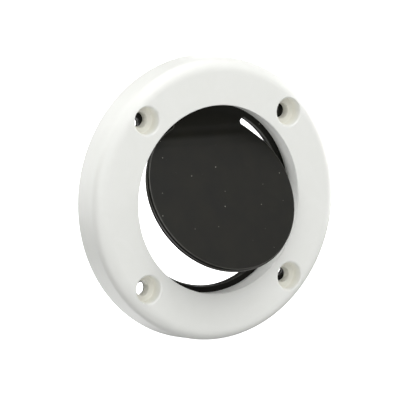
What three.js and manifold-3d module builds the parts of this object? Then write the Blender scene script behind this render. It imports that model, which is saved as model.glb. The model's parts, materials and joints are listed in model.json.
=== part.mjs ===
// Round flap outlet for a boat's hull or deck: a white moulded flange, screwed on by its
// four counterbored holes, over a black rubber moulding that is a gasket, a living hinge
// and a round flap in one.
//
// Millimetres. The flange's axis is Y and its front faces -Y. +Z is up, with the hinge at
// the top. The origin is on the axis, in the plane of the flange's rear rim.
// The flap is drawn at its relaxed angle, swung outward from the closed position.

import * as THREE from 'three';
import { mergeVertices } from 'three/addons/utils/BufferGeometryUtils.js';
import Module from 'manifold-3d';

const wasm = await Module();
wasm.setup();

// ---- Driving dimensions ----

const OUTER_R = 50;            // flange radius at the rear rim
const DEPTH = 12.4;            // front face to rear rim
const SHOULDER_WIDTH = 5;      // how far the rounded shoulder reaches in over the face
const SHOULDER_DEPTH = 4;      // how far it reaches back along the side wall
const DRAFT = 0.5;             // how far the side wall leans in by the shoulder
const RIM_WALL = 2.8;          // thickness of the rear rim
const BORE_FRONT_R = 32.9;     // opening at the front face
const BORE_BACK_R = 33.3;      // opening at the gasket's seat
const SEAT_DEPTH = 7.4;        // front face to the gasket's seat

const FRONT_WALL = 3;          // thickness of the face over the cored back
const CORE_INNER_R = 35.9;     // the cored back lies between these two radii
const CORE_OUTER_R = 45.9;
const BOSS_R = 7;
const RIB = 1.6;
const RIBS = 8;

const SCREWS = 4;
const SCREW_CIRCLE_R = 41.2;
const SCREW_ANGLE = 45;        // first screw, in degrees from +X
const SCREW_HOLE_R = 2.75;
const HEAD_R = 4.8;            // counterbore for the screw's head
const HEAD_DEPTH = 4.6;

const RUBBER = 3;              // thickness of the rubber moulding
const GASKET_R = 46.9;
const GASKET_BORE_R = 31.2;
const GASKET_HOLE_R = 2.4;
const GASKET_HOLE_CIRCLE_R = 40.5;
const GASKET_TURN = 2.3;       // its holes sit this many degrees round from the flange's

const FLAP_R = 28.8;
const SLOT_END_ANGLE = 30;     // the slots beside the hinge end here, in degrees from +Z
const WEB_LOW_Z = 17;          // the hinge web's lower edge with the flap closed
const OPEN_ANGLE = 27;         // the flap's relaxed angle

const GAP = 0.25;              // clearance between neighbouring solids
const ROUND_SIDES = 72;
const SMALL_SIDES = 24;
const FILLET_STEPS = 6;
const WEB_STEPS = 10;

// ---- Worked-out places ----

const rad = THREE.MathUtils.degToRad;
const FRONT_Y = -DEPTH;
const SEAT_Y = FRONT_Y + SEAT_DEPTH;
const RUBBER_FRONT_Y = SEAT_Y + GAP;
const HINGE_Y = RUBBER_FRONT_Y + RUBBER / 2;
const SLOT_R = (FLAP_R + GASKET_BORE_R) / 2;
const SLOT_HALF = (GASKET_BORE_R - FLAP_R) / 2;
const SLOT_END_X = SLOT_R * Math.sin(rad(SLOT_END_ANGLE));
const SLOT_END_Z = SLOT_R * Math.cos(rad(SLOT_END_ANGLE));
const HINGE_Z = (SLOT_END_Z + WEB_LOW_Z) / 2;

// ---- Helpers ----

// Turns a closed geometry into a solid, whichever way round its faces were wound.
function solid(geometry) {
  const bare = geometry.clone();
  bare.deleteAttribute('normal');
  bare.deleteAttribute('uv');
  const merged = mergeVertices(bare, 1e-4);
  const vertProperties = new Float32Array(merged.attributes.position.array);
  const triVerts = new Uint32Array(merged.index.array);
  if (signedVolume(vertProperties, triVerts) < 0) {
    for (let i = 0; i < triVerts.length; i += 3) {
      [triVerts[i], triVerts[i + 1]] = [triVerts[i + 1], triVerts[i]];
    }
  }
  return new wasm.Manifold(new wasm.Mesh({ numProp: 3, vertProperties, triVerts }));
}

function signedVolume(points, triangles) {
  const corner = (i) => new THREE.Vector3().fromArray(points, 3 * triangles[i]);
  let sum = 0;
  for (let i = 0; i < triangles.length; i += 3) {
    sum += corner(i).dot(corner(i + 1).cross(corner(i + 2)));
  }
  return sum / 6;
}

function geometryOf(manifold) {
  const mesh = manifold.getMesh();
  const geometry = new THREE.BufferGeometry();
  geometry.setAttribute('position', new THREE.BufferAttribute(mesh.vertProperties, 3));
  geometry.setIndex(new THREE.BufferAttribute(mesh.triVerts, 1));
  geometry.computeVertexNormals();
  return geometry;
}

function arc(x, z, radius, fromDegrees, toDegrees, steps) {
  const points = [];
  for (let i = 0; i <= steps; i += 1) {
    const angle = rad(fromDegrees + ((toDegrees - fromDegrees) * i) / steps);
    points.push(new THREE.Vector2(x + radius * Math.cos(angle), z + radius * Math.sin(angle)));
  }
  return points;
}

// Revolves a closed outline of [radius, y] points about the Y axis.
function turned(outline) {
  const points = outline.map(([radius, y]) => new THREE.Vector2(radius, y));
  points.push(points[0].clone());
  return new THREE.LatheGeometry(points, ROUND_SIDES);
}

// A rod along Y between two depths, at a place in the XZ plane.
function rodAlongY(radius, fromY, toY, x, z) {
  const rod = new THREE.CylinderGeometry(radius, radius, toY - fromY, SMALL_SIDES);
  return rod.translate(x, (fromY + toY) / 2, z);
}

// Thickens an outline drawn in the XZ plane from frontY towards +Y.
function plateAlongY(shape, frontY, thickness) {
  const plate = new THREE.ExtrudeGeometry(shape, { depth: thickness, bevelEnabled: false });
  return plate.rotateX(Math.PI / 2).translate(0, frontY + thickness, 0);
}

function placeOnCircle(radius, degrees) {
  return [radius * Math.cos(rad(degrees)), radius * Math.sin(rad(degrees))];
}

function screwAngles() {
  return Array.from({ length: SCREWS }, (_, i) => SCREW_ANGLE + (360 / SCREWS) * i);
}

// ---- Flange ----

function flangeBody() {
  const shoulderFootR = OUTER_R - DRAFT;
  const shoulder = arc(0, 0, 1, 0, -90, FILLET_STEPS).map((p) => [
    shoulderFootR - SHOULDER_WIDTH * (1 - p.x),
    FRONT_Y + SHOULDER_DEPTH * (1 + p.y),
  ]);
  return solid(turned([
    [OUTER_R - RIM_WALL, 0],
    [OUTER_R, 0],
    ...shoulder,
    [BORE_FRONT_R, FRONT_Y],
    [BORE_BACK_R, SEAT_Y],
    [OUTER_R - RIM_WALL, SEAT_Y],
  ]));
}

// The hollow behind the face: a ring-shaped pocket crossed by the bosses and the ribs.
function flangeCore() {
  const topY = FRONT_Y + FRONT_WALL;
  const pastSeatY = SEAT_Y + 1;
  let core = solid(turned([
    [CORE_INNER_R, topY],
    [CORE_OUTER_R, topY],
    [CORE_OUTER_R, pastSeatY],
    [CORE_INNER_R, pastSeatY],
  ]));
  for (const angle of screwAngles()) {
    const [x, z] = placeOnCircle(SCREW_CIRCLE_R, angle);
    core = core.subtract(solid(rodAlongY(BOSS_R, FRONT_Y, 0, x, z)));
  }
  for (let i = 0; i < RIBS; i += 1) {
    const rib = new THREE.BoxGeometry(OUTER_R, DEPTH, RIB);
    rib.translate(OUTER_R / 2, -DEPTH / 2, 0);
    rib.rotateY(rad((360 / RIBS) * (i + 0.5)));
    core = core.subtract(solid(rib));
  }
  return core;
}

function flangeGeometry() {
  let flange = flangeBody().subtract(flangeCore());
  for (const angle of screwAngles()) {
    const [x, z] = placeOnCircle(SCREW_CIRCLE_R, angle);
    flange = flange.subtract(solid(rodAlongY(SCREW_HOLE_R, FRONT_Y - 1, 1, x, z)));
    flange = flange.subtract(solid(rodAlongY(HEAD_R, FRONT_Y - 1, FRONT_Y + HEAD_DEPTH, x, z)));
  }
  return geometryOf(flange);
}

// ---- Rubber moulding ----

// The gasket's inner edge runs round the opening, turns round the end of each slot and
// crosses the top of the hinge web as a straight line.
function gasketShape() {
  const chordZ = SLOT_END_Z + GAP;
  const chordAngle = THREE.MathUtils.radToDeg(Math.asin(GAP / SLOT_HALF));
  const slotEnd = SLOT_END_ANGLE;
  const opening = [
    ...arc(0, 0, GASKET_BORE_R, 90 + slotEnd, 450 - slotEnd, ROUND_SIDES),
    ...arc(SLOT_END_X, SLOT_END_Z, SLOT_HALF, 90 - slotEnd, 180 - chordAngle, FILLET_STEPS).slice(1),
    ...arc(-SLOT_END_X, SLOT_END_Z, SLOT_HALF, chordAngle, 90 + slotEnd, FILLET_STEPS).slice(0, -1),
  ];
  opening.filter((p) => Math.abs(p.y - chordZ) < 1e-6).forEach((p) => p.setY(chordZ));
  const shape = new THREE.Shape(arc(0, 0, GASKET_R, 0, 360, ROUND_SIDES).slice(0, -1));
  shape.holes.push(new THREE.Path(opening));
  for (const angle of screwAngles()) {
    const [x, z] = placeOnCircle(GASKET_HOLE_CIRCLE_R, angle + GASKET_TURN);
    const hole = arc(x, z, GASKET_HOLE_R, 0, 360, SMALL_SIDES).slice(0, -1);
    shape.holes.push(new THREE.Path(hole));
  }
  return shape;
}

// Half the width of the web at a height, with the flap closed: the flap's edge, and above
// it the rounded end of the slot.
function webHalfWidth(z) {
  const roundStartZ = FLAP_R * Math.cos(rad(SLOT_END_ANGLE));
  if (z < roundStartZ) {
    return Math.sqrt(FLAP_R ** 2 - z ** 2);
  }
  return SLOT_END_X - Math.sqrt(SLOT_HALF ** 2 - (z - SLOT_END_Z) ** 2);
}

// Turns a point of the closed web about the hinge line by its share of the opening angle.
function bend(point) {
  const along = (SLOT_END_Z - point.z) / (SLOT_END_Z - WEB_LOW_Z);
  const share = THREE.MathUtils.smoothstep(along, 0, 1);
  const hinge = new THREE.Vector3(0, HINGE_Y, HINGE_Z);
  return point.sub(hinge).applyAxisAngle(new THREE.Vector3(-1, 0, 0), rad(OPEN_ANGLE) * share).add(hinge);
}

function webGeometry() {
  const length = SLOT_END_Z - WEB_LOW_Z;
  const web = new THREE.BoxGeometry(2, RUBBER, length, 1, 1, WEB_STEPS);
  web.translate(0, HINGE_Y, (SLOT_END_Z + WEB_LOW_Z) / 2);
  const corners = web.attributes.position;
  const point = new THREE.Vector3();
  for (let i = 0; i < corners.count; i += 1) {
    point.fromBufferAttribute(corners, i);
    point.x *= webHalfWidth(Math.min(point.z, SLOT_END_Z));
    bend(point);
    corners.setXYZ(i, point.x, point.y, point.z);
  }
  return geometryOf(solid(web));
}

// The rigid part of the flap, drawn closed and measured from the hinge line.
function flapGeometry() {
  const topZ = WEB_LOW_Z - GAP;
  const topAngle = THREE.MathUtils.radToDeg(Math.asin(topZ / FLAP_R));
  const edge = arc(0, -HINGE_Z, FLAP_R, 180 - topAngle, 360 + topAngle, ROUND_SIDES);
  return geometryOf(solid(plateAlongY(new THREE.Shape(edge), -RUBBER / 2, RUBBER)));
}

// ---- Assembly ----

function piece(name, geometry, color, roughness) {
  const material = new THREE.MeshStandardMaterial({ color, roughness, metalness: 0 });
  const mesh = new THREE.Mesh(geometry, material);
  mesh.name = name;
  return mesh;
}

const outlet = new THREE.Group();
outlet.add(piece('flange', flangeGeometry(), 0xe6e5e0, 0.4));

const gasket = solid(plateAlongY(gasketShape(), RUBBER_FRONT_Y, RUBBER));
outlet.add(piece('gasket', geometryOf(gasket), 0x1c1c1b, 0.6));
outlet.add(piece('hinge_web', webGeometry(), 0x2a2a28, 0.6));

const swing = new THREE.Group();
swing.position.set(0, HINGE_Y, HINGE_Z);
swing.rotation.x = -rad(OPEN_ANGLE);
swing.add(piece('flap', flapGeometry(), 0x30302e, 0.6));
outlet.add(swing);

export default outlet;
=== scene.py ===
# Round flap outlet: a white moulded flange over a black rubber moulding that is a gasket,
# a living hinge and a round flap in one. Metres, in the CAD model's frame: the flange's
# axis is Y, the front faces -Y, and +Z is up, with the hinge at the top.

import bpy
import json
import math
from mathutils import Matrix, Quaternion, Vector


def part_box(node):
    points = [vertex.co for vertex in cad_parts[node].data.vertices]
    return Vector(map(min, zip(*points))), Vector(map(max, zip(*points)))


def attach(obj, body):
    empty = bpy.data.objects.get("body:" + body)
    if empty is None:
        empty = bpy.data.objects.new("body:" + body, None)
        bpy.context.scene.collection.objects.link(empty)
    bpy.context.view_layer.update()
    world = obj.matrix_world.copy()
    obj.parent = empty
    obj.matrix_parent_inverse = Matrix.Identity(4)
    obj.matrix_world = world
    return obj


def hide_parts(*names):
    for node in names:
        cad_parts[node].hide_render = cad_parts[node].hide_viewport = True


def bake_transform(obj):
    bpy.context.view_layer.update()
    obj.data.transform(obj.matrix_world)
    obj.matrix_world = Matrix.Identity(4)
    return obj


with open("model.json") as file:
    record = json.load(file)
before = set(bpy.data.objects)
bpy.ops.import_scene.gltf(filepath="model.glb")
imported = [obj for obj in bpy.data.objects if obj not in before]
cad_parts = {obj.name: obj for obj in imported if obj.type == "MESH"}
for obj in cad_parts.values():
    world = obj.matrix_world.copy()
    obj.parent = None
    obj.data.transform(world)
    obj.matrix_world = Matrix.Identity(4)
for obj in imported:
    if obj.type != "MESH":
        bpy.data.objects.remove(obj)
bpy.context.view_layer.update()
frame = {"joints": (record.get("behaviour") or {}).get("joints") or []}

MM = 0.001
TURN = 2 * math.pi

# ---- Places read from the frame ----

flange_low, flange_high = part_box("flange")
gasket_low, gasket_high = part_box("gasket")
hinge = frame["joints"][0]
HINGE = Vector(hinge["pos_m"])
OPEN_ANGLE = -math.radians(hinge["range_deg"][0])    # from closed to the rest pose

OUTER_R = flange_high.x
FRONT_Y = flange_low.y
RIM_Y = flange_high.y
GASKET_R = gasket_high.x
RUBBER_FRONT_Y = gasket_low.y
RUBBER_BACK_Y = gasket_high.y
RUBBER = RUBBER_BACK_Y - RUBBER_FRONT_Y
RUBBER_MIDDLE_Y = (RUBBER_FRONT_Y + RUBBER_BACK_Y) / 2

# ---- Sizes of the flange ----

WALL_DRAFT = 0.5 * MM
SHOULDER_WIDTH = 5 * MM
SHOULDER_DEPTH = 4 * MM
SHOULDER_STEPS = 18
RIM_WALL = 2.8 * MM
BORE_FRONT_R = 32.9 * MM
BORE_BACK_R = 33.3 * MM
SEAT_Y = FRONT_Y + 7.4 * MM
EDGE_ROUND = 0.35 * MM          # broken edge where two moulded faces meet
CORE_INNER_R = 35.9 * MM
CORE_OUTER_R = 45.9 * MM
CORE_TOP_Y = FRONT_Y + 3 * MM
BOSS_R = 7 * MM
RIB = 1.6 * MM
RIBS = 8

SCREWS = 4
SCREW_CIRCLE_R = 41.2 * MM
SCREW_ANGLE = TURN / 8
SCREW_HOLE_R = 2.75 * MM
SCREW_HOLE_BACK_R = 2.45 * MM   # moulding draft narrows the hole towards the back
HEAD_R = 4.8 * MM
HEAD_DEPTH = 4.6 * MM
HEAD_EDGE = 0.8 * MM

# ---- Sizes of the rubber moulding ----

GASKET_BORE_R = 31.2 * MM
FLAP_R = 28.8 * MM
SLOT_R = (FLAP_R + GASKET_BORE_R) / 2
SLOT_HALF = (GASKET_BORE_R - FLAP_R) / 2
SLOT_END = math.radians(30)     # where the slots end, from the top
WEB_TOP_Z = SLOT_R * math.cos(SLOT_END)
WEB_LOW_Z = 2 * HINGE.z - WEB_TOP_Z
WEB_ROWS = 16
GASKET_HOLE_R = 2.4 * MM
GASKET_HOLE_CIRCLE_R = 40.5 * MM
GASKET_TURN = math.radians(2.3)
RUBBER_EDGE = 0.3 * MM
PUNCHED_EDGE = 0.06 * MM        # the screw holes are punched, so their edges are sharp
PARTING_RIDGE = 0.3 * MM        # the ridge left round the slot's walls where the mould parts

ROUND_STEPS = 192
HOLE_STEPS = 48
Y_AXIS = (0, 1, 0)
SMOOTH_ANGLE = 32               # degrees; sharper edges stay hard
SAME_PLANE = 0.5                # degrees; faces closer in angle than this are one plane
ALONG_AXIS = 0.9999             # a face lies square to the axis if its normal's Y is past this
MERGE_GAP = 0.002 * MM          # points closer than this are one
NEAR = 0.01 * MM                # how close to a place still counts as on it
NEARLY_ALL = 0.98               # a rounding stops just short of the room it has


# ---- Working by hand: selecting, drawing and finishing ----

def deselect_all():
    if bpy.context.object and bpy.context.object.mode != "OBJECT":
        bpy.ops.object.mode_set(mode="OBJECT")
    bpy.ops.object.select_all(action="DESELECT")


def work_on(piece):
    deselect_all()
    bpy.context.view_layer.objects.active = piece
    piece.select_set(True)


def select_where(piece, kind, test):
    """In edit mode, selects only the verts, edges or faces that pass the test."""
    bpy.ops.mesh.select_mode(type=kind)
    bpy.ops.mesh.select_all(action="DESELECT")
    bpy.ops.object.mode_set(mode="OBJECT")
    mesh = piece.data
    items = {"VERT": mesh.vertices, "EDGE": mesh.edges, "FACE": mesh.polygons}[kind]
    for item in items:
        item.select = test(item)
    bpy.ops.object.mode_set(mode="EDIT")


def start_at_point(name, point):
    """A new mesh in edit mode that is one vertex, ready to be extruded or spun."""
    deselect_all()
    bpy.ops.mesh.primitive_plane_add(size=MM, location=(0, 0, 0))
    piece = bpy.context.object
    piece.name = name
    bpy.ops.object.mode_set(mode="EDIT")
    bpy.ops.mesh.select_mode(type="VERT")
    bpy.ops.mesh.select_all(action="SELECT")
    bpy.ops.mesh.merge(type="CENTER")
    bpy.ops.transform.translate(value=point)
    return piece


def draw_section(name, corners):
    """Draws an outline of [radius, y] corners by extruding a vertex from each to the next."""
    points = [Vector((radius, y, 0)) for radius, y in corners]
    piece = start_at_point(name, points[0])
    for here, there in zip(points, points[1:]):
        bpy.ops.mesh.extrude_vertices_move(TRANSFORM_OT_translate={"value": there - here})
    return piece


def round_corner(piece, corner, radius, segments):
    """Rounds the outline's corner at this [radius, y] place."""
    place = Vector((corner[0], corner[1], 0))
    select_where(piece, "VERT", lambda v: (v.co - place).length < NEAR)
    bpy.ops.mesh.bevel(offset=radius, segments=segments, affect="VERTICES", clamp_overlap=False)


def turn_section(piece, steps):
    """Spins the outline once round the Y axis into a closed skin with whole flat faces."""
    bpy.ops.mesh.select_all(action="SELECT")
    bpy.ops.mesh.spin(steps=steps, angle=TURN, center=(0, 0, 0), axis=Y_AXIS)
    bpy.ops.mesh.select_all(action="SELECT")
    bpy.ops.mesh.remove_doubles(threshold=MERGE_GAP)
    bpy.ops.mesh.normals_make_consistent(inside=False)
    select_where(piece, "FACE", lambda f: abs(f.normal.y) > ALONG_AXIS)
    bpy.ops.mesh.dissolve_limited(angle_limit=math.radians(SAME_PLANE))
    bpy.ops.object.mode_set(mode="OBJECT")


def copy_of(piece, place):
    """A copy with its own mesh, moved to a place."""
    work_on(piece)
    bpy.ops.object.duplicate()
    copy = bpy.context.object
    copy.matrix_world = Matrix.Translation(place)
    bpy.ops.object.transform_apply(location=True, rotation=True, scale=True)
    return copy


def cut(piece, cutter):
    work_on(piece)
    bpy.ops.object.modifier_add(type="BOOLEAN")
    modifier = piece.modifiers[-1]
    modifier.operation = "DIFFERENCE"
    modifier.solver = "EXACT"
    modifier.object = cutter
    bpy.ops.object.modifier_apply(modifier=modifier.name)
    bpy.data.objects.remove(cutter)


def smooth_finish(piece):
    """Smooth shading that keeps flat faces flat, with hard edges past the smooth angle."""
    work_on(piece)
    bpy.ops.object.shade_smooth_by_angle(angle=math.radians(SMOOTH_ANGLE))
    bpy.ops.object.modifier_add(type="WEIGHTED_NORMAL")
    modifier = piece.modifiers[-1]
    modifier.keep_sharp = True
    modifier.weight = 100
    bpy.ops.object.modifier_apply(modifier=modifier.name)


def on_circle(radius, angle):
    """A place on a circle in the XZ plane, the angle counted from +X towards +Z."""
    return Vector((radius * math.cos(angle), 0, radius * math.sin(angle)))


def screw_angles():
    return [SCREW_ANGLE + TURN / SCREWS * i for i in range(SCREWS)]


def give(piece, material):
    piece.data.materials.clear()
    piece.data.materials.append(material)


# ---- Flange ----

def shoulder_curve():
    """The quarter ellipse that rounds the side wall over into the front face."""
    foot = OUTER_R - WALL_DRAFT
    angles = [TURN / 4 * i / SHOULDER_STEPS for i in range(SHOULDER_STEPS + 1)]
    return [(foot - SHOULDER_WIDTH * (1 - math.cos(angle)),
             FRONT_Y + SHOULDER_DEPTH * (1 - math.sin(angle))) for angle in angles]


def flange_ring():
    rim_inner = OUTER_R - RIM_WALL
    rim_outer_corner = (OUTER_R, RIM_Y)
    rim_inner_corner = (rim_inner, RIM_Y)
    bore_front = (BORE_FRONT_R, FRONT_Y)
    bore_back = (BORE_BACK_R, SEAT_Y)
    seat_corner = (rim_inner, SEAT_Y)
    ring = draw_section("flange_moulding", [
        rim_inner_corner, rim_outer_corner, *shoulder_curve(),
        bore_front, bore_back, seat_corner, rim_inner_corner])
    bpy.ops.mesh.select_all(action="SELECT")
    bpy.ops.mesh.remove_doubles(threshold=MERGE_GAP)
    round_corner(ring, rim_outer_corner, EDGE_ROUND, 3)
    round_corner(ring, rim_inner_corner, EDGE_ROUND, 3)
    round_corner(ring, bore_front, EDGE_ROUND, 4)
    round_corner(ring, bore_back, EDGE_ROUND / 2, 2)
    turn_section(ring, ROUND_STEPS)
    return ring


def screw_cutter():
    """The shape of one screw's way: a rounded mouth, the head's pocket and the hole."""
    floor_y = FRONT_Y + HEAD_DEPTH
    before_y = FRONT_Y - 1 * MM
    behind_y = SEAT_Y + 1 * MM
    corners = [
        (0, before_y),
        (HEAD_R + HEAD_EDGE, before_y),
        (HEAD_R + HEAD_EDGE, FRONT_Y),
        (HEAD_R, FRONT_Y),
        (HEAD_R, floor_y),
        (SCREW_HOLE_R, floor_y),
        (SCREW_HOLE_BACK_R, SEAT_Y),
        (SCREW_HOLE_BACK_R, behind_y),
        (0, behind_y),
    ]
    cutter = draw_section("screw_way", corners)
    round_corner(cutter, corners[3], NEARLY_ALL * HEAD_EDGE, 6)
    round_corner(cutter, corners[4], EDGE_ROUND, 3)
    round_corner(cutter, corners[5], EDGE_ROUND / 2, 3)
    turn_section(cutter, HOLE_STEPS)
    return cutter


def core_cutter():
    """The hollow behind the face, left solid at the ribs and the screw bosses."""
    behind_y = SEAT_Y + 1 * MM
    corners = [
        (CORE_INNER_R, CORE_TOP_Y),
        (CORE_OUTER_R, CORE_TOP_Y),
        (CORE_OUTER_R, behind_y),
        (CORE_INNER_R, behind_y),
        (CORE_INNER_R, CORE_TOP_Y),
    ]
    core = draw_section("core", corners)
    turn_section(core, ROUND_STEPS)
    for angle in screw_angles():
        bpy.ops.mesh.primitive_cylinder_add(
            vertices=HOLE_STEPS, radius=BOSS_R, depth=-2 * FRONT_Y,
            location=on_circle(SCREW_CIRCLE_R, angle), rotation=(TURN / 4, 0, 0))
        cut(core, bpy.context.object)
    for i in range(RIBS):
        middle = on_circle((CORE_INNER_R + CORE_OUTER_R) / 2, TURN / RIBS * (i + 0.5))
        bpy.ops.mesh.primitive_cube_add(
            size=1, location=middle, rotation=(0, -TURN / RIBS * (i + 0.5), 0),
            scale=(2 * BOSS_R, -2 * FRONT_Y, RIB))
        cut(core, bpy.context.object)
    return core


def make_flange():
    flange = flange_ring()
    cut(flange, core_cutter())
    way = screw_cutter()
    for angle in screw_angles():
        cut(flange, copy_of(way, on_circle(SCREW_CIRCLE_R, angle)))
    bpy.data.objects.remove(way)
    smooth_finish(flange)
    return flange


# ---- Rubber moulding ----

def rubber_disc():
    """The whole moulding, flat and closed, before its slot and holes are cut."""
    corners = [
        (0, RUBBER_FRONT_Y),
        (GASKET_R, RUBBER_FRONT_Y),
        (GASKET_R, RUBBER_BACK_Y),
        (0, RUBBER_BACK_Y),
    ]
    disc = draw_section("gasket_ring", corners)
    round_corner(disc, corners[1], RUBBER_EDGE, 3)
    round_corner(disc, corners[2], RUBBER_EDGE, 3)
    turn_section(disc, ROUND_STEPS)
    return disc


def waisted_section(name, half_width, edge, ridge):
    """Half the section of a slot or hole cutter. It flares at both faces, to round the
    edges, and has a notch half way that leaves the mould's parting ridge."""
    flare = half_width + edge
    front_corner = (half_width, RUBBER_FRONT_Y)
    back_corner = (half_width, RUBBER_BACK_Y)
    cutter = draw_section(name, [
        (0, RUBBER_FRONT_Y - RUBBER),
        (flare, RUBBER_FRONT_Y - RUBBER),
        (flare, RUBBER_FRONT_Y),
        front_corner,
        (half_width, RUBBER_MIDDLE_Y - PARTING_RIDGE),
        (half_width - ridge, RUBBER_MIDDLE_Y),
        (half_width, RUBBER_MIDDLE_Y + PARTING_RIDGE),
        back_corner,
        (flare, RUBBER_BACK_Y),
        (flare, RUBBER_BACK_Y + RUBBER),
        (0, RUBBER_BACK_Y + RUBBER),
    ])
    round_corner(cutter, front_corner, NEARLY_ALL * edge, 4)
    round_corner(cutter, back_corner, NEARLY_ALL * edge, 4)
    return cutter


def slot_cutter():
    """The C-shaped slot between flap and gasket: a half turn, a long sweep, a half turn."""
    cutter = waisted_section("slot", SLOT_HALF, RUBBER_EDGE, PARTING_RIDGE)
    bpy.ops.object.mode_set(mode="OBJECT")
    to_right_end = Matrix.Rotation(SLOT_END - TURN / 4, 4, "Y")
    cutter.matrix_world = to_right_end @ Matrix.Translation((SLOT_R, 0, 0))
    bpy.ops.object.transform_apply(location=True, rotation=True, scale=True)
    right_end = Vector((SLOT_R * math.sin(SLOT_END), 0, WEB_TOP_Z))
    left_end = Vector((-right_end.x, 0, WEB_TOP_Z))
    across = Vector((math.cos(SLOT_END), 0, -math.sin(SLOT_END)))
    bpy.ops.object.mode_set(mode="EDIT")
    bpy.ops.mesh.select_all(action="SELECT")
    bpy.ops.mesh.spin(steps=HOLE_STEPS // 2, angle=TURN / 2, center=right_end, axis=Y_AXIS)
    select_where(cutter, "VERT", lambda v: abs(v.co.dot(across)) < NEAR)
    bpy.ops.mesh.spin(steps=ROUND_STEPS, angle=2 * SLOT_END - TURN, center=(0, 0, 0), axis=Y_AXIS)
    across.x = -across.x
    outer = SLOT_R - NEAR
    select_where(cutter, "VERT", lambda v: abs(v.co.dot(across)) < NEAR
                 and v.co.z > 0 and math.hypot(v.co.x, v.co.z) > outer)
    bpy.ops.mesh.spin(steps=HOLE_STEPS // 2, angle=-TURN / 2, center=left_end, axis=Y_AXIS)
    bpy.ops.mesh.select_all(action="SELECT")
    bpy.ops.mesh.remove_doubles(threshold=MERGE_GAP)
    bpy.ops.mesh.normals_make_consistent(inside=False)
    bpy.ops.object.mode_set(mode="OBJECT")
    return cutter


def hole_cutter():
    cutter = waisted_section("hole", GASKET_HOLE_R, PUNCHED_EDGE, 0)
    turn_section(cutter, HOLE_STEPS)
    return cutter


def in_flap(place):
    """True for what lies below the hinge's top edge and inside the slot."""
    inside = math.hypot(place.x, place.z) < SLOT_R
    return inside and place.z < WEB_TOP_Z + NEAR


def cut_level(z):
    """Cuts the mesh being edited all the way across at this height."""
    bpy.ops.mesh.select_all(action="SELECT")
    bpy.ops.mesh.bisect(plane_co=(0, 0, z), plane_no=(0, 0, 1))


def close_seam():
    """Closes the mesh being edited where it was parted from its neighbour."""
    bpy.ops.mesh.select_mode(type="EDGE")
    bpy.ops.mesh.select_all(action="DESELECT")
    bpy.ops.mesh.select_non_manifold()
    bpy.ops.mesh.edge_face_add()
    bpy.ops.mesh.select_all(action="SELECT")
    bpy.ops.mesh.normals_make_consistent(inside=False)


def give_where(piece, material, wanted):
    """Gives this finish to the faces being edited whose corner places pass the test."""
    corners = piece.data.vertices
    piece.data.materials.append(material)
    piece.active_material_index = len(piece.data.materials) - 1
    select_where(piece, "FACE", lambda face: wanted([corners[i].co for i in face.vertices]))
    bpy.ops.object.material_slot_assign()


def cut_wall(places):
    """True for a wall trimmed or punched after moulding, from one edge to half way through."""
    depths = [place.y for place in places]
    return 0.25 * RUBBER < max(depths) - min(depths) < 0.5 * RUBBER


def punched_wall(places):
    """True for a wall of a screw hole."""
    return cut_wall(places) and min(math.hypot(p.x, p.z) for p in places) > GASKET_BORE_R + RUBBER


# The faces that get the painted highlight line.
def gets_edge_highlight(places):
    """True for the rounded front edges, and for the parting ridge half way through."""
    nearest = min(place.y for place in places)
    deepest = max(place.y for place in places)
    front_edge = NEAR < deepest - RUBBER_FRONT_Y < RUBBER_EDGE + NEAR
    on_ridge = max(RUBBER_MIDDLE_Y - nearest, deepest - RUBBER_MIDDLE_Y) < PARTING_RIDGE + NEAR
    return front_edge or on_ridge


def bend(place):
    """Turns a point of the closed web or flap about the hinge by its share of the angle."""
    along = (WEB_TOP_Z - place.z) / (WEB_TOP_Z - WEB_LOW_Z)
    along = min(max(along, 0), 1)
    share = along * along * (3 - 2 * along)
    return HINGE + Quaternion((-1, 0, 0), OPEN_ANGLE * share) @ (place - HINGE)


def make_rubber(skin, cut_edge_shade, edge_highlight):
    """The gasket, and the flap with its hinge web, parted at the web's top edge."""
    gasket = rubber_disc()
    give(gasket, skin)
    cut(gasket, slot_cutter())
    hole = hole_cutter()
    for angle in screw_angles():
        cut(gasket, copy_of(hole, on_circle(GASKET_HOLE_CIRCLE_R, angle + GASKET_TURN)))
    bpy.data.objects.remove(hole)

    work_on(gasket)
    bpy.ops.object.mode_set(mode="EDIT")
    cut_level(WEB_TOP_Z)
    corners = gasket.data.vertices
    select_where(gasket, "FACE", lambda f: all(in_flap(corners[i].co) for i in f.vertices))
    bpy.ops.mesh.separate(type="SELECTED")
    close_seam()
    # Painted shade: the screw holes' walls get the blacker cut-wall colour.
    give_where(gasket, cut_edge_shade, punched_wall)
    # Painted highlight: the gasket's rounded edges and parting ridge get the paler highlight
    # colour.
    give_where(gasket, edge_highlight, gets_edge_highlight)
    bpy.ops.object.mode_set(mode="OBJECT")
    flap = [o for o in bpy.context.selected_objects if o is not gasket][0]
    flap.name = "flap_and_hinge"

    work_on(flap)
    bpy.ops.object.mode_set(mode="EDIT")
    close_seam()
    # Painted shade: the flap's cut walls get the blacker cut-wall colour.
    give_where(flap, cut_edge_shade, cut_wall)
    # Painted highlight: the flap's rounded edges and parting ridge get the paler highlight colour.
    give_where(flap, edge_highlight, gets_edge_highlight)
    for row in range(1, WEB_ROWS + 1):
        cut_level(WEB_TOP_Z + (WEB_LOW_Z - WEB_TOP_Z) * row / WEB_ROWS)
    bpy.ops.object.mode_set(mode="OBJECT")
    for vertex in flap.data.vertices:
        vertex.co = bend(vertex.co)
    smooth_finish(gasket)
    smooth_finish(flap)
    return gasket, flap


# ---- Materials ----

def colour(hex_value):
    """An sRGB hex colour as linear RGBA."""
    channels = [int(hex_value[i:i + 2], 16) / 255 for i in (0, 2, 4)]
    linear = [c / 12.92 if c <= 0.04045 else ((c + 0.055) / 1.055) ** 2.4 for c in channels]
    return (*linear, 1)


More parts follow.
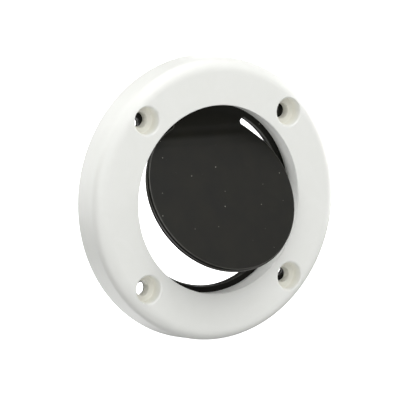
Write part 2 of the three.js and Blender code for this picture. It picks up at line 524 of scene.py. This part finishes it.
def add_node(tree, kind, settings=None, links=None):
    """Adds a node. settings are properties or input values; links go from sockets to inputs."""
    node = tree.nodes.new(kind)
    for key, value in (settings or {}).items():
        if key in node.inputs:
            node.inputs[key].default_value = value
        else:
            setattr(node, key, value)
    for key, socket in (links or {}).items():
        tree.links.new(socket, node.inputs[key])
    return node


def new_material(name):
    material = bpy.data.materials.new(name)
    material.use_nodes = True
    tree = material.node_tree
    shader = tree.nodes["Principled BSDF"]
    place = add_node(tree, "ShaderNodeTexCoord").outputs["Object"]
    return material, tree, shader, place


def moulded_white_abs():
    """White ABS from a polished mould: a satin gloss with faint flow marks. Deeper than the front
    face, the ring through the screw pockets is painted darker and warmer, as painted shade with a
    painted warm bounce in the hollows."""
    material, tree, shader, place = new_material("moulded_white_abs")
    flow = add_node(tree, "ShaderNodeTexNoise",
                    {"Scale": 1 / (9 * MM), "Detail": 3.0, "Distortion": 1.5}, {"Vector": place})
    tint = add_node(tree, "ShaderNodeMix", {"data_type": "RGBA"}, {"Factor": flow.outputs["Fac"]})
    tint.inputs[6].default_value = colour("EEEFEA")
    tint.inputs[7].default_value = colour("F3F4F0")

    across = add_node(tree, "ShaderNodeVectorMath", {"operation": "MULTIPLY"}, {0: place})
    across.inputs[1].default_value = (1, 0, 1)
    radius = add_node(tree, "ShaderNodeVectorMath", {"operation": "LENGTH"},
                      {0: across.outputs["Vector"]})
    by_screws = add_node(tree, "ShaderNodeMath", {"operation": "COMPARE"},
                         {0: radius.outputs["Value"]})
    by_screws.inputs[1].default_value = SCREW_CIRCLE_R
    by_screws.inputs[2].default_value = HEAD_R
    depth = add_node(tree, "ShaderNodeSeparateXYZ", None, {"Vector": place})
    sunk = add_node(tree, "ShaderNodeMapRange",
                    {"From Min": FRONT_Y + 0.3 * MM, "From Max": FRONT_Y + 4 * MM},
                    {"Value": depth.outputs["Y"]})
    pocket = add_node(tree, "ShaderNodeMath", {"operation": "MULTIPLY"},
                      {0: by_screws.outputs[0], 1: sunk.outputs["Result"]})
    # Painted shade: deeper than the front face, the ring through the screw pockets is mixed
    # towards a darker, warmer white.
    painted_hollow_shade = add_node(tree, "ShaderNodeMix", {"data_type": "RGBA"},
                        {"Factor": pocket.outputs[0], 6: tint.outputs[2]})
    painted_hollow_shade.inputs[7].default_value = colour("EAE9E0")
    tree.links.new(painted_hollow_shade.outputs[2], shader.inputs["Base Color"])

    # The mould's own grain is too fine to show, so it's drawn coarser than it is.
    grain = add_node(tree, "ShaderNodeTexNoise", {"Scale": 1 / (0.6 * MM), "Detail": 2.0},
                     {"Vector": place})
    gloss = add_node(tree, "ShaderNodeMapRange", {"To Min": 0.30, "To Max": 0.42},
                     {"Value": grain.outputs["Fac"]})
    tree.links.new(gloss.outputs["Result"], shader.inputs["Roughness"])
    ripple = add_node(tree, "ShaderNodeBump", {"Strength": 0.25, "Distance": 0.03 * MM},
                      {"Height": flow.outputs["Fac"]})
    skin = add_node(tree, "ShaderNodeBump", {"Strength": 0.1, "Distance": 0.01 * MM},
                    {"Height": grain.outputs["Fac"], "Normal": ripple.outputs["Normal"]})
    tree.links.new(skin.outputs["Normal"], shader.inputs["Normal"])
    shader.inputs["IOR"].default_value = 1.53
    return material


def moulded_black_rubber():
    """Black moulded rubber: a dull charcoal skin, mottled olive brown where it has bloomed,
    with sparse pale specks of dust."""
    material, tree, shader, place = new_material("moulded_black_rubber")
    bloom = add_node(tree, "ShaderNodeTexNoise", {"Scale": 1 / (8 * MM), "Detail": 6.0},
                     {"Vector": place})
    body = add_node(tree, "ShaderNodeMix", {"data_type": "RGBA"}, {"Factor": bloom.outputs["Fac"]})
    body.inputs[6].default_value = colour("0A0A09")
    body.inputs[7].default_value = colour("1C1B12")

    # Specks of dust, each as pale as its cell's random number.
    cell = 3.2 * MM
    speck_radius = 0.208 * MM
    cells = add_node(tree, "ShaderNodeTexVoronoi", {"Scale": 1 / cell}, {"Vector": place})
    near = add_node(tree, "ShaderNodeMath", {"operation": "LESS_THAN"},
                    {0: cells.outputs["Distance"]})
    near.inputs[1].default_value = speck_radius / cell
    pick = add_node(tree, "ShaderNodeSeparateColor", None, {"Color": cells.outputs["Color"]})
    speck = add_node(tree, "ShaderNodeMath", {"operation": "MULTIPLY"},
                     {0: near.outputs[0], 1: pick.outputs["Red"]})
    dusty = add_node(tree, "ShaderNodeMix", {"data_type": "RGBA"},
                     {"Factor": speck.outputs[0], 6: body.outputs[2]})
    dusty.inputs[7].default_value = colour("8A897F")
    tree.links.new(dusty.outputs[2], shader.inputs["Base Color"])

    # The skin's own grain is too fine to show, so it's drawn coarser than it is.
    grain = add_node(tree, "ShaderNodeTexNoise", {"Scale": 1 / (0.4 * MM), "Detail": 3.0},
                     {"Vector": place})
    gloss = add_node(tree, "ShaderNodeMapRange", {"To Min": 0.36, "To Max": 0.48},
                     {"Value": grain.outputs["Fac"]})
    tree.links.new(gloss.outputs["Result"], shader.inputs["Roughness"])
    skin = add_node(tree, "ShaderNodeBump", {"Strength": 0.25, "Distance": 0.02 * MM},
                    {"Height": grain.outputs["Fac"]})
    tree.links.new(skin.outputs["Normal"], shader.inputs["Normal"])
    shader.inputs["IOR"].default_value = 1.5
    shader.inputs["Specular IOR Level"].default_value = 0.24
    return material


def shade_painted_cut_edge():
    """Rubber trimmed or punched after moulding: no bloom, and a fine torn grain from the blade.
    Its colour is painted blacker than that, as painted shade on walls that face away from the
    light or lie deep in the screw holes."""
    material, tree, shader, place = new_material("shade_painted_cut_edge")
    # The torn grain is too fine to show, so it's drawn coarser than it is.
    grain = add_node(tree, "ShaderNodeTexNoise", {"Scale": 1 / (0.5 * MM), "Detail": 2.0},
                     {"Vector": place})
    body = add_node(tree, "ShaderNodeMix", {"data_type": "RGBA"}, {"Factor": grain.outputs["Fac"]})
    # Painted shade: the cut walls get a blacker colour than the moulded skin.
    body.inputs[6].default_value = colour("060606")
    body.inputs[7].default_value = colour("0F0F0D")
    tree.links.new(body.outputs[2], shader.inputs["Base Color"])
    skin = add_node(tree, "ShaderNodeBump", {"Strength": 0.3, "Distance": 0.03 * MM},
                    {"Height": grain.outputs["Fac"]})
    tree.links.new(skin.outputs["Normal"], shader.inputs["Normal"])
    shader.inputs["Roughness"].default_value = 0.45
    shader.inputs["IOR"].default_value = 1.5
    shader.inputs["Specular IOR Level"].default_value = 0.08
    return material


def highlight_painted_edge():
    """Painted highlight on the rubber's rounded corners and its parting ridge: a paler grey than
    the skin, and shinier, so they draw a thin light line round the slot and the flap."""
    material, tree, shader, place = new_material("highlight_painted_edge")
    highlight_patchiness = add_node(tree, "ShaderNodeTexNoise", {"Scale": 1 / (2.5 * MM), "Detail": 3.0},
                    {"Vector": place})
    # Painted highlight: the paler grey that draws the thin light line along the edges and the
    # ridge.
    body = add_node(tree, "ShaderNodeMix", {"data_type": "RGBA"}, {"Factor": highlight_patchiness.outputs["Fac"]})
    body.inputs[6].default_value = colour("1E1E1C")
    body.inputs[7].default_value = colour("504F48")
    tree.links.new(body.outputs[2], shader.inputs["Base Color"])
    gloss = add_node(tree, "ShaderNodeMapRange", {"To Min": 0.35, "To Max": 0.25},
                     {"Value": highlight_patchiness.outputs["Fac"]})
    tree.links.new(gloss.outputs["Result"], shader.inputs["Roughness"])
    shader.inputs["IOR"].default_value = 1.5
    shader.inputs["Specular IOR Level"].default_value = 0.5
    return material


# ---- Studio ----

SOFTBOX_DISTANCE = 1.3
SOFTBOX_SIZE = 0.9
FLOOR_SIZE = 12
GLOW = 0.15                     # how strongly the backdrop lights the part


def make_camera():
    azimuth = math.radians(-32.48)
    elevation = math.radians(6.89)
    roll = math.radians(-0.45)
    distance = 1.1235
    aim = Vector((1.89, -1.79, -4.06)) * MM
    back = Vector((math.sin(azimuth) * math.cos(elevation),
                   -math.cos(azimuth) * math.cos(elevation),
                   math.sin(elevation)))
    bpy.ops.object.camera_add(location=aim + back * distance)
    camera = bpy.context.object
    camera.rotation_mode = "QUATERNION"
    level = (-back).to_track_quat("-Z", "Y")
    camera.rotation_quaternion = level @ Quaternion((0, 0, 1), roll)
    camera.data.sensor_width = 36
    camera.data.lens = 277.3
    camera.data.clip_start = 0.05
    camera.data.clip_end = 50
    bpy.context.scene.camera = camera


def make_floor():
    """A white sheet, lit evenly from within so that it shows no edge against the backdrop."""
    deselect_all()
    bpy.ops.mesh.primitive_plane_add(size=FLOOR_SIZE, location=(0, 0, flange_low.z))
    floor = bpy.context.object
    floor.name = "floor"
    material, _, shader, _ = new_material("pale_floor")
    shader.inputs["Base Color"].default_value = colour("F4F4F4")
    shader.inputs["Roughness"].default_value = 0.9
    shader.inputs["Emission Color"].default_value = (1, 1, 1, 1)
    shader.inputs["Emission Strength"].default_value = 1
    give(floor, material)
    floor.visible_diffuse = False
    floor.visible_glossy = False
    floor.visible_shadow = False


def softbox(name, azimuth, elevation, watts):
    """A round soft light that faces the part, placed by its bearing from the front."""
    turn = math.radians(azimuth)
    rise = math.radians(elevation)
    bearing = Vector((math.sin(turn) * math.cos(rise),
                      -math.cos(turn) * math.cos(rise),
                      math.sin(rise)))
    bpy.ops.object.light_add(type="AREA", location=SOFTBOX_DISTANCE * bearing)
    lamp = bpy.context.object
    lamp.name = name
    lamp.rotation_mode = "QUATERNION"
    lamp.rotation_quaternion = (-bearing).to_track_quat("-Z", "Y")
    lamp.data.shape = "DISK"
    lamp.data.size = SOFTBOX_SIZE
    lamp.data.energy = watts


def make_lights():
    softbox("overhead", 0, 85, 6.2)
    softbox("above_front", 0, 45, 7.8)
    softbox("above_right_front", 45, 45, 1.7)
    softbox("above_left_behind", -135, 45, 4.2)
    softbox("left_front", -45, 5, 4.7)
    softbox("left_behind", -135, 5, 3.8)
    softbox("right", 90, 5, 8.7)
    softbox("right_behind", 135, 5, 5.3)
    softbox("behind", 180, 5, 5.9)
    softbox("low_left_front", -45, -35, 3.4)
    softbox("low_right_front", 45, -35, 2.4)
    softbox("low_behind", 180, -35, 3.0)


def make_world():
    """White to the eye, and a dimmer even glow as light."""
    world = bpy.data.worlds.new("studio")
    bpy.context.scene.world = world
    world.use_nodes = True
    tree = world.node_tree
    tree.nodes.clear()
    seen = add_node(tree, "ShaderNodeBackground", {"Color": (1, 1, 1, 1), "Strength": 1.0})
    glow = add_node(tree, "ShaderNodeBackground", {"Color": (1, 1, 1, 1), "Strength": GLOW})
    ray = add_node(tree, "ShaderNodeLightPath")
    mix = add_node(tree, "ShaderNodeMixShader")
    tree.links.new(ray.outputs["Is Camera Ray"], mix.inputs[0])
    tree.links.new(glow.outputs[0], mix.inputs[1])
    tree.links.new(seen.outputs[0], mix.inputs[2])
    output = add_node(tree, "ShaderNodeOutputWorld")
    tree.links.new(mix.outputs[0], output.inputs["Surface"])


make_camera()
make_world()
make_floor()
make_lights()
bpy.context.scene.view_settings.view_transform = "Standard"

white_abs = moulded_white_abs()
black_rubber = moulded_black_rubber()
cut_edge_shade_material = shade_painted_cut_edge()
edge_highlight_material = highlight_painted_edge()

flange = make_flange()
give(flange, white_abs)
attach(flange, "mounted_ring")
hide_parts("flange")

gasket, flap = make_rubber(black_rubber, cut_edge_shade_material, edge_highlight_material)
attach(gasket, "mounted_ring")
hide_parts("gasket")

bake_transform(flap)
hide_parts("hinge_web", "flap")
